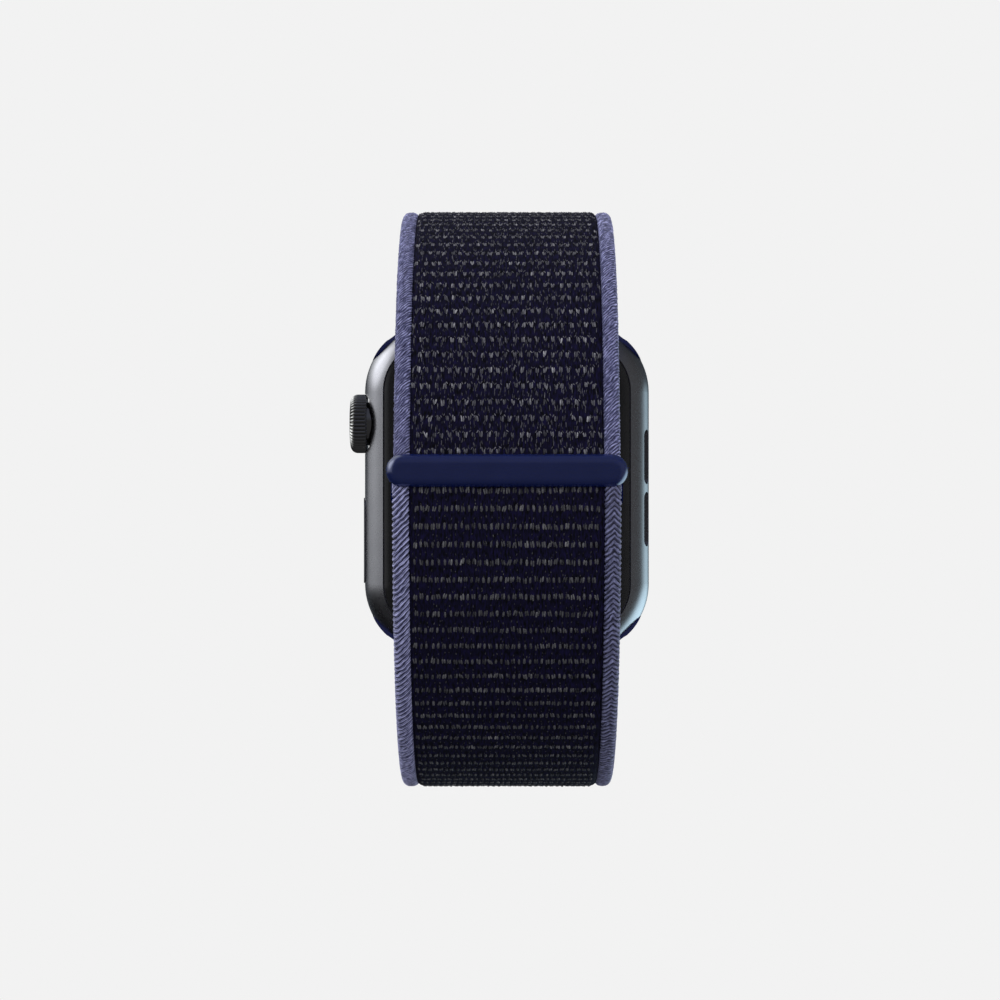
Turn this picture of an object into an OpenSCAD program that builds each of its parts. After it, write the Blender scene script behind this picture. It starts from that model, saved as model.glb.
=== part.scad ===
// Wrist-worn fitness tracker: a metal case with a glass front and a crown, on a woven
// hook-and-loop band that is closed in a loop through a bar ring.
// World axes: +X to the speaker side, +Y out of the display, +Z to the top of the display.
// The origin is the centre of the wrist opening. Millimetres.

/* [Case] */
// Width of the case across its sides
case_w = 38; // [34:0.5:42]
// Height of the case from end to end
case_h = 44; // [40:0.5:48]
// Thickness of the case, glass to back plate
case_t = 10.4; // [9.6:0.1:11]
// Corner radius of the case seen from the front
case_r = 9.2; // [8:0.1:11]
// Distance from the wrist centre to the middle of the case
case_y = 29.6; // [28:0.1:32]
// Radius of the round back crystal
crystal_r = 12; // [9:0.5:12]
// Height of the crystal's dome above the back
crystal_rise = 1.1; // [0.4:0.1:1.6]

/* [Band slots] */
// Radius of the round slot that holds each connector
slot_r = 2.4; // [2:0.1:2.5]
// Half height of each slot's mouth
mouth_h = 1.9; // [1.6:0.1:2]
// Clearance of each connector in its slot
slot_gap = 0.07; // [0.04:0.01:0.1]

/* [Controls] */
// Height of the crown's axis above the middle of the case
crown_z = 8.6; // [7:0.1:10]
// Diameter of the crown
crown_d = 7.86; // [7:0.02:8]
// Number of grooves round the crown
crown_grooves = 48; // [36:4:80]
// Travel of the crown when it is pressed
crown_travel = 0.35; // [0.2:0.05:0.4]
// Height of the side button's middle
button_z = -7; // [-9:0.5:-5]
// Length of the side button
button_l = 11.4; // [9:0.2:13]

/* [Band] */
// Full width of the woven band
band_w = 25; // [22:0.5:25]
// Width of each woven edging
edge_w = 1.8; // [1.2:0.1:2.4]
// Thickness of the woven band
band_t = 2.25; // [2:0.05:2.4]
// Distance between the outer faces of the folded band's two layers
layer_pitch = 3; // [2.8:0.05:3.2]
// Outer radius of the band across the wrist side
front_r = 37; // [36:0.5:38]
// Outer radius of the band's shoulders
shoulder_r = 29.8; // [28:0.1:30]
// Outer radius of the band beside the case
back_r = 33.6; // [33:0.2:36]

/* [Ring] */
// Length of the ring's front bar
bar_l = 26.7; // [26.4:0.1:28]
// Height of the ring's front bar
bar_h = 3.72; // [3.4:0.02:4]
// Radius of the hidden bar that the band folds over
pin_r = 0.75; // [0.6:0.05:0.8]

/* [Hidden] */
$fn = 96;
half_t = case_t / 2;
cx = case_w / 2 - case_r;
cy = case_h / 2 - case_r;
puck = case_r - half_t;
front_z = -3.1;
frame_z = -2.9;
back_z = 4.5;
slot_y = 19.3;
fabric_h = band_w / 2 - edge_w;
front_c = [9.5, 0];
front_a = 17;
turn_a = 58;
shoulder_c = [9.5 - (front_r - shoulder_r) * sin(turn_a), (front_r - shoulder_r) * cos(turn_a)];
back_c = [shoulder_c[0], shoulder_c[1] + shoulder_r - back_r];
end_a = 46;
end_p = back_c + back_r * [cos(end_a), sin(end_a)];
tail_r = front_r + layer_pitch;
fold_in = pin_r + 0.05;
fold_out = fold_in + band_t;
pin_z = -1.2;
pin_a = asin(-pin_z / (tail_r - fold_out));
pin_c = [9.5 - (tail_r - fold_out) * cos(pin_a), pin_z];
run_y = pin_c[0] + fold_in;
ease_a = 20;
ease_p = front_c + front_r * [-cos(ease_a), -sin(ease_a)];
ease_r = (ease_p[0] - run_y) / (1 - cos(ease_a));
ease_c = [run_y + ease_r, ease_p[1] + ease_r * sin(ease_a)];
split_a = 5.8;
tail_end = 13;
cap_in = -18.7;
cap_out = -20.9;
cap_round = 0.95;
rim_round = 0.6;
bar_t = 2.4;
bar_round_w = 1.1;
bar_round_d = 1.5;

// Frames of reference

// Case frame: x right, y to the top, z from the middle of the case towards the wrist.
module in_case() translate([0, case_y, 0]) rotate([90, 0, 0]) children();

// Crown and button frame: z along the axis, out of the case's left side.
module to_left(y) translate([0, y, 0]) rotate([0, -90, 0]) children();

// Side frame: x is world Y, y is world Z, and z runs across the band.
module side() rotate([90, 0, 90]) children();

// Case shapes

// A profile (x outward from the corner centre, y through the thickness) taken round the outline.
module round_outline() {
    for (q = [[1, 1, 0], [-1, 1, 90], [-1, -1, 180], [1, -1, 270]])
        translate([q[0] * cx, q[1] * cy, 0]) rotate([0, 0, q[2]])
            rotate_extrude(angle = 90) children();
    for (s = [0, 180]) rotate([0, 0, s]) {
        translate([cx, cy, 0]) rotate([90, 0, 0]) linear_extrude(2 * cy) children();
        translate([-cx, cy, 0]) rotate([90, 0, 90]) linear_extrude(2 * cx) children();
    }
}

module core(z0, z1) translate([-cx, -cy, z0]) cube([2 * cx, 2 * cy, z1 - z0]);

// The case's rounded side as a profile, cut to a band of thickness.
module side_profile(z0, z1, grow = 0, r0 = 0, r1 = 20) intersection() {
    union() {
        translate([puck, 0]) circle(half_t + grow);
        translate([0, -half_t - grow]) square([puck, 2 * (half_t + grow)]);
    }
    translate([r0, z0]) square([r1 - r0, z1 - z0]);
}

module plan(inset = 0) {
    r = case_r - inset;
    translate([-cx, -cy - r]) square([2 * cx, 2 * (cy + r)]);
    translate([-cx - r, -cy]) square([2 * (cx + r), 2 * cy]);
    for (x = [-cx, cx], y = [-cy, cy]) translate([x, y]) circle(r);
}

module rounded(w, h, r) {
    translate([-w / 2 + r, -h / 2]) square([w - 2 * r, h]);
    translate([-w / 2, -h / 2 + r]) square([w, h - 2 * r]);
    for (x = [-1, 1], y = [-1, 1]) translate([x * (w / 2 - r), y * (h / 2 - r)]) circle(r);
}

module slab(z0, z1, inset) translate([0, 0, z0]) linear_extrude(z1 - z0) plan(inset);

module brick(x, y, z, r = 0.3) translate([(x[0] + x[1]) / 2, (y[0] + y[1]) / 2, z[0]])
    linear_extrude(z[1] - z[0]) rounded(x[1] - x[0], y[1] - y[0], r);

module stadium(l, w) {
    square([l - w, w], center = true);
    for (s = [-1, 1]) translate([s * (l - w) / 2, 0]) circle(w / 2);
}

module band_slot() {
    translate([-25, slot_y, 0]) rotate([0, 90, 0]) cylinder(h = 50, r = slot_r);
    translate([-25, slot_y, -mouth_h]) cube([50, 6, 2 * mouth_h]);
}

module both_ends() for (s = [0, 180]) rotate([0, 0, s]) children();

// The recess round the crown, through the case and the edge of its glass.
module crown_pocket() to_left(crown_z) {
    translate([0, 0, 18.3]) cylinder(h = 6, r = crown_d / 2 + 0.15);
    translate([0, 0, 16.9]) cylinder(h = 6, r = crown_d / 2 - 0.85);
}

// Where the release buttons sit, on the wrist side of the two slots.
module at_release() both_ends() translate([0, 17.6, 0]) children();

module case_frame() color([0.30, 0.30, 0.32]) in_case() difference() {
    union() {
        round_outline() side_profile(frame_z, back_z);
        core(frame_z, back_z);
        both_ends() translate([-11.4, 14.6, -3.2]) cube([22.8, 4.6, 0.6]);
    }
    translate([0, 0, -4]) linear_extrude(8) rounded(30.4, 31.2, 3);
    slab(3.3, 6, 2.64);
    translate([0, 0, -4]) linear_extrude(4) rounded(30.4, 28.8, 3);
    both_ends() band_slot();
    at_release() {
        translate([0, 0, 2.45]) linear_extrude(2) stadium(7, 2.5);
        translate([0, 0, 1]) cylinder(h = 3, r = 0.55);
    }
    crown_pocket();
    to_left(crown_z) translate([0, 0, 14]) cylinder(h = 5, r = 1.6);
    // side button pocket, stem bore and seal groove
    to_left(button_z) {
        translate([0, 0, 17.1]) linear_extrude(5) rotate(90) stadium(button_l + 0.16, 3.16);
        translate([0, 0, 14]) cylinder(h = 5, r = 0.74);
        translate([0, 0, 15.9]) cylinder(h = 0.5, r = 1.15);
    }
    // microphone port
    to_left(1.2) translate([0, 0, 14]) cylinder(h = 8, r = 0.35);
    // two speaker slots on the right side
    for (y = [-4.15, 4.15]) translate([14, y, 1.9]) rotate([0, 90, 0]) linear_extrude(8)
        rotate(90) stadium(7.25, 1.6);
}

module back_plate() color([0.09, 0.09, 0.10]) in_case() difference() {
    union() {
        round_outline() side_profile(3.45, half_t, -0.01, 0, case_r - 2.82);
        core(3.45, half_t - 0.01);
    }
    translate([0, 0, 3]) cylinder(h = 4, r = crystal_r - 1);
    translate([0, 0, 4.2]) cylinder(h = 4, r = crystal_r + 0.05);
    at_release() {
        translate([0, 0, 3]) linear_extrude(3) stadium(5.76, 2.06);
        translate([0, 0, 3.3]) linear_extrude(0.62) stadium(6.76, 2.46);
    }
}

module back_gasket() color([0.05, 0.05, 0.05]) in_case() difference() {
    slab(3.3, 3.45, 3);
    translate([0, 0, 3]) linear_extrude(1) rounded(31, 31.8, 3);
    at_release() translate([0, 0, 3]) linear_extrude(1) stadium(7.4, 2.9);
}

module back_crystal() color([0.03, 0.03, 0.04]) in_case() intersection() {
    translate([0, 0, 4.2]) cylinder(h = 4, r = crystal_r);
    sr = (crystal_r * crystal_r + crystal_rise * crystal_rise) / (2 * crystal_rise);
    translate([0, 0, half_t + crystal_rise - sr]) sphere(sr, $fn = 256);
}

module sensor_board() color([0.08, 0.25, 0.16]) in_case() translate([0, 0, 3.2])
    difference() { cylinder(h = 0.35, r = 10.6); translate([0, 0, -1]) cylinder(h = 3, r = 0.6); }

module sensor_leds() color([0.35, 0.75, 0.35]) in_case()
    for (a = [0 : 90 : 270]) rotate(a + 45) translate([2.2, 0, 3.55]) linear_extrude(0.4)
        square(1.5, center = true);

module photodiodes() color([0.15, 0.15, 0.2]) in_case()
    for (a = [0 : 90 : 270]) rotate(a) translate([4.6, 0, 3.55]) linear_extrude(0.35)
        square([1.6, 2.6], center = true);

module charge_coil() color([0.72, 0.42, 0.2]) in_case() translate([0, 0, 3.6]) difference() {
    cylinder(h = 0.45, r = 10.3);
    translate([0, 0, -1]) cylinder(h = 3, r = 7.4);
}

module charge_magnet() color([0.6, 0.6, 0.62]) in_case() translate([0, 0, 3.6]) difference() {
    cylinder(h = 0.45, r = 7.2);
    translate([0, 0, -1]) cylinder(h = 3, r = 6.2);
}

module front_glass() color([0.04, 0.04, 0.05]) in_case() difference() {
    union() {
        round_outline() side_profile(-half_t, front_z);
        core(-half_t, front_z);
    }
    round_outline() side_profile(-half_t + 1, 0, -1);
    core(-half_t + 1, 0);
    crown_pocket();
}

module display_gasket() color([0.05, 0.05, 0.05]) in_case() difference() {
    round_outline() translate([puck + 2.95, front_z]) square([0.95, frame_z - front_z]);
    crown_pocket();
}

module display_panel() color([0.05, 0.05, 0.07]) in_case() slab(-4.2, -3.45, half_t + 0.1);

module display_flex() color([0.55, 0.35, 0.12]) in_case() translate([-3, 0, 0]) rotate([90, 0, 90])
    linear_extrude(6) polygon([[-11, -3.45], [-14.3, -3.45], [-14.3, -1.6], [-12.5, -1.6],
        [-12.5, -1.75], [-14.15, -1.75], [-14.15, -3.3], [-11, -3.3]]);

module battery() color([0.2, 0.2, 0.22]) in_case() brick([-8.5, 6.7], [-8.6, 14.6], [-0.7, 3.1], 0.8);

module logic_board() color([0.06, 0.22, 0.14]) in_case()
    brick([-10.5, 14.5], [-13.6, 13.6], [-1.6, -1.0], 1.5);

module board_shields() color([0.62, 0.62, 0.64]) in_case() {
    brick([-9, 3], [0.5, 12.5], [-2.75, -1.6], 0.5);
    brick([-9, 3], [-11.5, -0.5], [-2.75, -1.6], 0.5);
    brick([4, 13.5], [-11.5, 12.5], [-2.5, -1.6], 0.5);
}

module haptic_housing() color([0.55, 0.55, 0.57]) in_case() difference() {
    brick([-9, 9], [-15.2, -9.6], [-0.7, 3.1], 0.4);
    translate([-8.65, -14.85, -0.35]) cube([17.3, 4.9, 3.1]);
}

module haptic_mass() color([0.42, 0.42, 0.44]) in_case()
    translate([-6, -14.6, -0.1]) cube([12, 4.4, 2.6]);

module haptic_springs() color([0.7, 0.7, 0.72]) in_case() for (s = [0, 180]) rotate([0, 0, 0])
    translate([0, -12.4, 0.2]) rotate([0, 0, s]) linear_extrude(2)
        polygon([[6.02, -0.3], [6.2, -0.3], [7, 1.3], [7.3, 1.3], [8.1, -1.2], [8.62, -1.2],
            [8.62, -1.0], [8.25, -1.0], [7.45, 1.5], [6.85, 1.5], [6.1, 0.1], [6.02, 0.1]]);

module speaker_module() color([0.12, 0.12, 0.13]) in_case() difference() {
    brick([8.2, 15], [-8.4, 8.4], [-0.7, 3.1], 0.6);
    for (y = [-4.15, 4.15]) translate([14, y, 1.9]) rotate([0, 90, 0]) linear_extrude(3)
        rotate(90) stadium(6.8, 1.2);
}

module speaker_mesh() color([0.04, 0.04, 0.04]) in_case()
    for (y = [-4.15, 4.15]) translate([17.2, y, 1.9]) rotate([0, 90, 0]) linear_extrude(0.2)
        rotate(90) stadium(7.2, 1.55);

module microphone() color([0.7, 0.7, 0.7]) in_case() brick([-15.15, -13.4], [0.1, 2.3], [-0.9, 1], 0.2);

// Controls

module fluted(r, n) difference() {
    circle(r);
    for (i = [0 : n - 1]) rotate(i * 360 / n) translate([r + 0.02, 0]) circle(0.17, $fn = 16);
}

// The crown: a fluted rim rounded at both ends, on a plain neck.
module crown_cap() color([0.10, 0.10, 0.11]) in_case() to_left(crown_z) difference() {
    r = crown_d / 2;
    union() {
        intersection() {
            translate([0, 0, -cap_in]) linear_extrude(cap_in - cap_out) fluted(r, crown_grooves);
            rotate_extrude() {
                translate([0, -cap_in]) square([r - cap_round, cap_in - cap_out]);
                translate([0, -cap_in + rim_round])
                    square([r, cap_in - cap_out - rim_round - cap_round]);
                translate([r - cap_round, -cap_out - cap_round]) circle(cap_round);
                translate([r - rim_round, -cap_in + rim_round]) circle(rim_round);
            }
        }
        translate([0, 0, 17.3]) cylinder(h = -cap_in - 17.3, r = r - 1.05);
    }
    translate([0, 0, -cap_out - 0.2]) difference() {
        cylinder(h = 1, r = 2.5);
        translate([0, 0, -1]) cylinder(h = 3, r = 2.15);
    }
}

module crown_ring() color([0.02, 0.02, 0.02]) in_case() to_left(crown_z)
    translate([0, 0, -cap_out - 0.2]) difference() {
        cylinder(h = 0.15, r = 2.49);
        translate([0, 0, -1]) cylinder(h = 3, r = 2.16);
    }

module crown_shaft() color([0.6, 0.6, 0.62]) in_case() to_left(crown_z) {
    translate([0, 0, 13]) cylinder(h = 4.3, r = 1);
    translate([0, 0, 12.75]) cylinder(h = 0.25, r = 0.6);
}

module crown_wheel() color([0.3, 0.3, 0.32]) in_case() to_left(crown_z) difference() {
    translate([0, 0, 13.8]) cylinder(h = 0.6, r = 2.2);
    cylinder(h = 20, r = 1);
}

module crown_plunger() color([0.8, 0.78, 0.7]) in_case() to_left(crown_z) difference() {
    translate([0, 0, 12.5]) cylinder(h = 0.45, r = 1.3);
    translate([0, 0, 12.7]) cylinder(h = 1, r = 0.64);
}

module crown_seal() color([0.05, 0.05, 0.05]) in_case() to_left(crown_z)
    translate([0, 0, 15.9]) rotate_extrude() translate([1.23, 0]) circle(0.2);

module crown_bushing() color([0.66, 0.60, 0.42]) in_case() to_left(crown_z) difference() {
    union() {
        translate([0, 0, 14.85]) cylinder(h = 2, r = 1.6);
        translate([0, 0, 14.85]) cylinder(h = 0.34, r = 2.1);
    }
    cylinder(h = 20, r = 1.03);
    translate([0, 0, 15.6]) cylinder(h = 0.6, r = 1.45);
}

module crown_encoder() color([0.1, 0.1, 0.1]) in_case()
    brick([-14.5, -13.1], [crown_z - 1.6, crown_z + 1.6], [2.4, 3.1], 0.2);

module crown_switch() color([0.75, 0.75, 0.72]) in_case() {
    brick([-12, -11], [crown_z - 1.4, crown_z + 1.4], [-0.9, 1.4], 0.2);
    to_left(crown_z) translate([0, 0, 12]) cylinder(h = 0.1, r = 0.8);
}

module side_button() color([0.28, 0.28, 0.30]) in_case() {
    intersection() {
        to_left(button_z) translate([0, 0, 17.5]) linear_extrude(3) rotate(90) stadium(button_l, 3);
        translate([-case_w / 2 + half_t, 0, 0]) rotate([90, 0, 0])
            cylinder(h = 40, r = half_t + 0.15, center = true);
    }
    to_left(button_z) translate([0, 0, 14.95]) cylinder(h = 2.55, r = 0.7);
}

module side_button_seal() color([0.05, 0.05, 0.05]) in_case() to_left(button_z)
    translate([0, 0, 16.15]) rotate_extrude() translate([0.93, 0]) circle(0.2);

module side_button_switch() color([0.75, 0.75, 0.72]) in_case()
    brick([-14.6, -13.4], [button_z - 1.4, button_z + 1.4], [-0.9, 1.2], 0.2);

module release_button() color([0.12, 0.12, 0.13]) {
    translate([0, 17.6, 3.45]) linear_extrude(1.45) stadium(5.6, 1.9);
    translate([0, 17.6, 3.45]) linear_extrude(0.42) stadium(6.6, 2.3);
    translate([0, 17.6, 2.1]) cylinder(h = 1.4, r = 0.5);
}

module release_spring() color([0.7, 0.7, 0.72]) for (s = [0, 180])
    translate([0, 17.6, 0]) rotate([0, 0, s]) translate([0, 0.8, 0]) rotate([90, 0, 0])
        linear_extrude(1.6) polygon([[0.8, 2.46], [1.1, 2.46], [1.9, 3.28], [3.0, 3.28], [3.0, 3.43],
            [1.8, 3.43], [1.05, 2.61], [0.8, 2.61]]);

module release_button_upper() in_case() release_button();
module release_button_lower() in_case() rotate([0, 0, 180]) release_button();
module release_spring_upper() in_case() release_spring();
module release_spring_lower() in_case() rotate([0, 0, 180]) release_spring();

// Band connectors

// Seen from the front: the case's own outline, then a concave flare out to the band.
module connector_plan() difference() {
    union() {
        intersection() {
            plan(0.02);
            translate([-20, 10]) square([40, 10.07]);
        }
        translate([-15.25, 19.5]) square([30.5, 6]);
    }
    for (s = [-1, 1]) translate([s * 18.55, 24.3]) circle(5.36);
}

// The flare's depth: the tongue on the wrist side of it is narrower.
flare_z = 1.3;

// Seen from the side: a bulb in the slot, a flush fill, and a tongue that leans to the band.
module connector_side() {
    translate([case_y, slot_y]) circle(slot_r - slot_gap);
    intersection() {
        translate([case_y, cy + case_r - half_t]) circle(half_t);
        translate([case_y - mouth_h + slot_gap, slot_y])
            square([2 * (mouth_h - slot_gap), 4]);
    }
    difference() {
        translate(end_p) rotate(end_a) translate([-band_t - 0.33, -6]) square([band_t + 0.66, 6.3]);
        difference() {
            translate([case_y, cy + case_r - half_t]) circle(half_t + 0.25);
            translate([case_y - mouth_h + slot_gap, slot_y - 1])
                square([2 * (mouth_h - slot_gap), 8]);
        }
        translate([case_y - 20, 0]) square([40, slot_y]);
    }
}

module connector() difference() {
    intersection() {
        side() translate([0, 0, -20]) linear_extrude(40) connector_side();
        in_case() translate([0, 0, -10]) linear_extrude(30) connector_plan();
        in_case() union() {
            translate([-20, 0, -10]) cube([40, 30, 10 + flare_z]);
            translate([-13.25, 0, -10]) cube([26.5, 30, 30]);
            translate([-20, 0, -10]) cube([40, slot_y + 2, 30]);
        }
    }
    side() translate(end_p) rotate(end_a) translate([-band_t - 0.03, -1.04, -band_w / 2 - 0.05])
        cube([band_t + 0.06, 4, band_w + 0.1]);
    in_case() translate([0, 17.6, 0.4]) cylinder(h = 3, r = 0.48);
}

module connector_upper() color([0.10, 0.12, 0.24]) connector();
module connector_lower() color([0.10, 0.12, 0.24]) mirror([0, 0, 1]) connector();

module connector_catches() color([0.6, 0.6, 0.62]) in_case()
    both_ends() translate([0, 17.6, 0.4]) cylinder(h = 0.6, r = 0.45);

// Band: paths of [x, y, outward angle] along the outer face, seen from the side

function bend(c, r, a0, a1) = let(n = ceil(abs(a1 - a0) / 2))
    [for (i = [0 : n]) let(a = a0 + (a1 - a0) * i / n) [c[0] + r * cos(a), c[1] + r * sin(a), a]];

function back(path) = [for (i = [len(path) - 1 : -1 : 0]) path[i]];

function flip(path) = [for (p = path) [p[0], -p[1], -p[2]]];

top_p = front_c + front_r * [-cos(front_a), sin(front_a)];
upper_l = 8;

// From inside the connector, back beside the case and over the shoulder to the wrist side.
function half_loop(stop) = concat(
    [[end_p[0] + sin(end_a), end_p[1] - cos(end_a), end_a]],
    bend(back_c, back_r, end_a, 90),
    bend(shoulder_c, shoulder_r, 91, 90 + turn_a),
    bend(front_c, front_r, 90 + turn_a + 1, stop));

upper_path = concat(half_loop(180 - front_a),
    [[top_p[0] - upper_l * sin(front_a), top_p[1] - upper_l * cos(front_a), 180 - front_a]]);

inner_path = concat(flip(half_loop(180 - ease_a)),
    bend(ease_c, ease_r, -180 + ease_a - 1, -180), [[run_y, pin_z, -180]]);

fold_path = concat(bend(pin_c, fold_out, 0, 180 + pin_a),
    bend(front_c, tail_r, 180 + pin_a + 1, 180 + split_a));

tail_path = flip(concat(bend(front_c, tail_r, 180 - split_a - 0.1, 90 + turn_a),
    bend(shoulder_c, shoulder_r + layer_pitch, 90 + turn_a - 2, 90),
    bend(back_c, back_r + layer_pitch, 89, 90 - tail_end)));

hook_path = flip(concat(bend(shoulder_c, shoulder_r + layer_pitch, 112, 90),
    bend(back_c, back_r + layer_pitch, 89, 90 - tail_end)));

tab_path = flip(bend(back_c, back_r + layer_pitch, 90 - tail_end, 85 - tail_end));

// A layer between two depths under the outer face, from x0 to x1 across the band.
module ribbon(path, x0, x1, d0 = 0, d1 = band_t) side() translate([0, 0, x0])
    linear_extrude(x1 - x0) polygon(concat(
        [for (p = path) [p[0] - d0 * cos(p[2]), p[1] - d0 * sin(p[2])]],
        [for (p = back(path)) [p[0] - d1 * cos(p[2]), p[1] - d1 * sin(p[2])]]));

module fabric(path) color([0.09, 0.09, 0.16]) ribbon(path, -fabric_h + 0.02, fabric_h - 0.02);

// The edgings are full thickness beside the fabric and thinner along the band's outer rims.
module edging(path) color([0.30, 0.31, 0.44]) for (m = [0, 1]) mirror([m, 0, 0]) {
    ribbon(path, fabric_h, band_w / 2 - 0.35);
    ribbon(path, band_w / 2 - 0.35, band_w / 2, 0.35, band_t - 0.35);
}

module strap_upper() fabric(upper_path);
module strap_upper_edges() edging(upper_path);
module strap_inner() fabric(inner_path);
module strap_inner_edges() edging(inner_path);
module strap_fold() fabric(fold_path);
module strap_fold_edges() edging(fold_path);
module strap_tail() fabric(tail_path);
module strap_tail_edges() edging(tail_path);

module hook_patch() color([0.05, 0.05, 0.09])
    ribbon(hook_path, -fabric_h + 0.5, fabric_h - 0.5, band_t, band_t + 0.22);

module end_tab() color([0.10, 0.12, 0.24]) ribbon(tab_path, -band_w / 2, band_w / 2);

// Ring

// Half of the bar's section: a flat face, and a side that rounds off as a quarter of an ellipse.
module bar_profile() polygon(concat([[0, 0], [bar_h / 2 - 0.15, 0], [bar_h / 2, 0.15]],
    [for (a = [0 : 6 : 90])
        [bar_h / 2 - bar_round_w * (1 - cos(a)), bar_t - bar_round_d * (1 - sin(a))]],
    [[0, bar_t]]));

module front_bar() rotate([90, 0, 0]) {
    d = bar_l / 2 - bar_h / 2;
    for (s = [-1, 1]) translate([s * d, 0, 0]) rotate_extrude() bar_profile();
    for (m = [0, 1]) mirror([0, m, 0]) translate([-d, 0, 0]) rotate([90, 0, 90])
        linear_extrude(2 * d) bar_profile();
}

module buckle_ring() color([0.11, 0.13, 0.25]) {
    post_x = band_w / 2 + 0.04;
    post_w = 0.3;
    difference() {
        translate([0, -28.9, 1.6]) front_bar();
        side() translate([pin_c[0], pin_c[1], -20]) cylinder(h = 40, r = fold_out + 0.15);
        side() translate([top_p[0], top_p[1], -band_w / 2 - 0.05]) rotate([0, 0, 180 - front_a])
            translate([-4, -1, 0]) cube([4.03, upper_l + 1.05, band_w + 0.1]);
    }
    // the bar that the band folds over
    side() translate([pin_c[0], pin_c[1], -post_x - post_w]) cylinder(h = 2 * (post_x + post_w), r = pin_r);
    // web and back wall of the pocket that holds the upper band's end
    side() translate([0, 0, -post_x - 0.1]) linear_extrude(2 * post_x + 0.2) polygon([[-29.2, 2],
        [-25.35, 2], [-24.75, 4.3], [-25.45, 4.3], [-26.02, 2.44], [-29.2, 2.44]]);
    // end posts
    for (m = [0, 1]) mirror([m, 0, 0]) side() translate([0, 0, post_x]) linear_extrude(post_w) {
        polygon([[-29.5, 0.7], [-29.5, 2.44], [-25.3, 2.44], [-26.2, 0.8], [pin_c[0] + pin_r, pin_z],
            [pin_c[0] - pin_r, pin_z], [-28.6, 0.4]]);
        translate(pin_c) circle(pin_r);
    }
}

case_frame();
back_plate();
back_gasket();
back_crystal();
sensor_board();
sensor_leds();
photodiodes();
charge_coil();
charge_magnet();
front_glass();
display_gasket();
display_panel();
display_flex();
battery();
logic_board();
board_shields();
haptic_housing();
haptic_mass();
haptic_springs();
speaker_module();
speaker_mesh();
microphone();
crown_cap();
crown_ring();
crown_shaft();
crown_wheel();
crown_plunger();
crown_seal();
crown_bushing();
crown_encoder();
crown_switch();
side_button();
side_button_seal();
side_button_switch();
release_button_upper();
release_button_lower();
release_spring_upper();
release_spring_lower();
connector_upper();
connector_lower();
connector_catches();
strap_upper();
strap_upper_edges();
strap_inner();
strap_inner_edges();
strap_fold();
strap_fold_edges();
strap_tail();
strap_tail_edges();
hook_patch();
end_tab();
buckle_ring();
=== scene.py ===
"""Looks for the wrist-worn fitness tracker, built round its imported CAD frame.

The woven band is modelled here: fabric with its floats and loops, and twisted edgings.
So is the crown's cap, with its fine grooves. Every other piece is the CAD node itself,
with a procedural material.
"""
import math

import bpy
import numpy as np
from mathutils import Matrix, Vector


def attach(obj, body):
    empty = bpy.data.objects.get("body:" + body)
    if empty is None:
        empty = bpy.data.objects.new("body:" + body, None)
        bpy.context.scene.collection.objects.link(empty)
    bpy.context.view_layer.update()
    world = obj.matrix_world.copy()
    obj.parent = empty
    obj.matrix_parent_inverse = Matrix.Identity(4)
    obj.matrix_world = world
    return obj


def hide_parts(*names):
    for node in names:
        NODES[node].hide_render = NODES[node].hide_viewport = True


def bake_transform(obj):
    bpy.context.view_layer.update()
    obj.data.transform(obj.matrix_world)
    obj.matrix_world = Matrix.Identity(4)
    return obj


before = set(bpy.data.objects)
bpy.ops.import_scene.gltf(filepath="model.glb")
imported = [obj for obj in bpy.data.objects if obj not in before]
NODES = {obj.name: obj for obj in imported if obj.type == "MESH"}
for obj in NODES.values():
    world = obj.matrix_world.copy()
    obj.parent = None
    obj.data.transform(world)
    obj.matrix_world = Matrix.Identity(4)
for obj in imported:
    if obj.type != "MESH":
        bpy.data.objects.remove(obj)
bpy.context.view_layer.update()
MM = 0.001

# Band sizes in millimetres and degrees, the same as the CAD part's

BAND_W = 25.0
EDGE_W = 1.8
BAND_T = 2.25
PITCH = 3.0
FRONT_R, SHOULDER_R, BACK_R = 37.0, 29.8, 33.6
FRONT_Y = 9.5
FRONT_A, TURN_A, END_A, EASE_A = 17.0, 58.0, 46.0, 20.0
PIN_R, PIN_Z, PIN_GAP = 0.75, -1.2, 0.05
TAIL_END = 13.0
UPPER_L = 8.0
INSERT = 0.9
ANGLE_STEP = 0.5

# The weave: half the fabric's width between its edgings, and the rows of its two faces

FABRIC_H = BAND_W / 2 - EDGE_W
FABRIC_LAP = 0.06
ROW, PILE_ROW = 2.0, 1.915


def polar(a):
    return np.array([math.cos(math.radians(a)), math.sin(math.radians(a))])


# Centres of the arcs that the band follows, as (y, z)

FRONT_C = np.array([FRONT_Y, 0.0])
SHOULDER_C = FRONT_C + (FRONT_R - SHOULDER_R) * polar(90 + TURN_A)
BACK_C = SHOULDER_C + np.array([0, SHOULDER_R - BACK_R])
END_P = BACK_C + BACK_R * polar(END_A)
TAIL_R = FRONT_R + PITCH
FOLD_IN = PIN_R + PIN_GAP
FOLD_OUT = FOLD_IN + BAND_T
PIN_A = math.degrees(math.asin(-PIN_Z / (TAIL_R - FOLD_OUT)))
PIN_C = np.array([FRONT_Y - (TAIL_R - FOLD_OUT) * math.cos(math.radians(PIN_A)), PIN_Z])
RUN_Y = PIN_C[0] + FOLD_IN
EASE_P = FRONT_C + FRONT_R * polar(180 + EASE_A)
EASE_R = (EASE_P[0] - RUN_Y) / (1 - math.cos(math.radians(EASE_A)))
EASE_C = EASE_P - EASE_R * polar(180 + EASE_A)
TOP_P = FRONT_C + FRONT_R * polar(180 - FRONT_A)


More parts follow.
